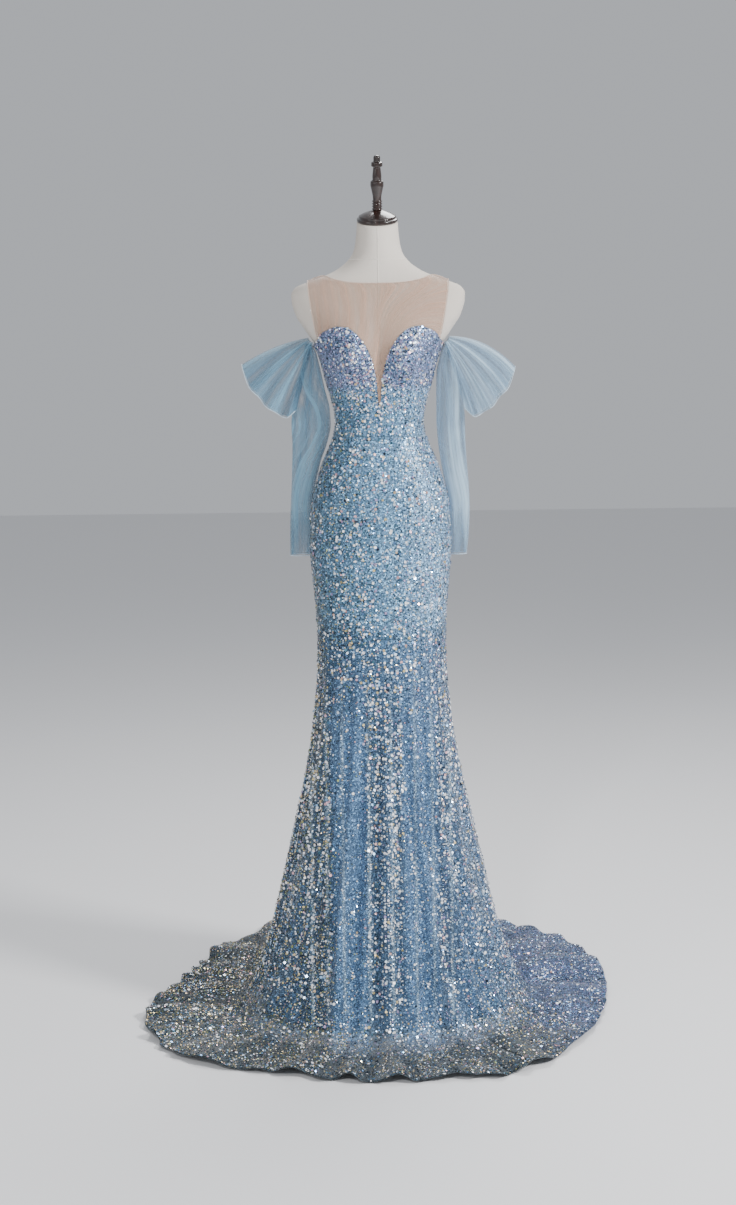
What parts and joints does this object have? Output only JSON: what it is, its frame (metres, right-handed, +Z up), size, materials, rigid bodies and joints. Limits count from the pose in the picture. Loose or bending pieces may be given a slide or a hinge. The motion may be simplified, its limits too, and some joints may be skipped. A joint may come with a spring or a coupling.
{
  "type": "evening gown on a dress form",
  "caption": "Floor-length mermaid evening gown with off-shoulder tulle sleeves and a pooled train, standing on a limbless dress form",
  "frame": {"origin": "middle of the stand base's underside, on the floor", "axes": "+Z up the pole, the wearer's front faces -Y, the wearer's left is +X"},
  "size_m": [1.0671, 1.1757, 1.9007],
  "materials": {
    "sequin_mesh": "blue stretch mesh covered with iridescent sequins",
    "blue_tulle": "fine sheer tulle",
    "nude_net": "sheer stretch net",
    "blue_lining": "plain woven lining",
    "form_linen": "plain linen over a hard shell",
    "dark_wood": "turned and varnished",
    "pole_metal": "plated tube",
    "base_enamel": "satin enamel",
    "zip_metal": "plated zinc",
    "zip_tape": "woven tape"
  },
  "bodies": {
    "gown_on_form": {"bodice_front_left": "sequin_mesh", "bodice_front_right": "sequin_mesh", "bodice_side_left": "sequin_mesh", "bodice_side_right": "sequin_mesh", "bodice_back_left": "sequin_mesh", "bodice_back_right": "sequin_mesh", "yoke_front": "nude_net", "yoke_back_left": "nude_net", "yoke_back_right": "nude_net", "skirt_front": "sequin_mesh", "skirt_side_left": "sequin_mesh", "skirt_side_right": "sequin_mesh", "skirt_back_left": "sequin_mesh", "skirt_back_right": "sequin_mesh", "skirt_lining": "blue_lining", "sleeve_left": "blue_tulle", "sleeve_right": "blue_tulle", "flounce_left": "blue_tulle", "flounce_right": "blue_tulle", "zip_tape": "zip_tape", "zip_slider": "zip_metal", "form_torso": "form_linen", "form_neck_cap": "dark_wood", "form_finial": "dark_wood", "form_stand_pole": "pole_metal", "form_stand_base": "base_enamel"},
    "pull_tab": {"zip_pull_tab": "zip_metal"}
  },
  "joints": [
    {"name": "pull_tab_hinge", "type": "hinge", "parent": "gown_on_form", "child": "pull_tab", "pos_m": [0, 0.0871, 1.6251], "axis": [1, 0, 0], "range_deg": [0, 160]}
  ]
}
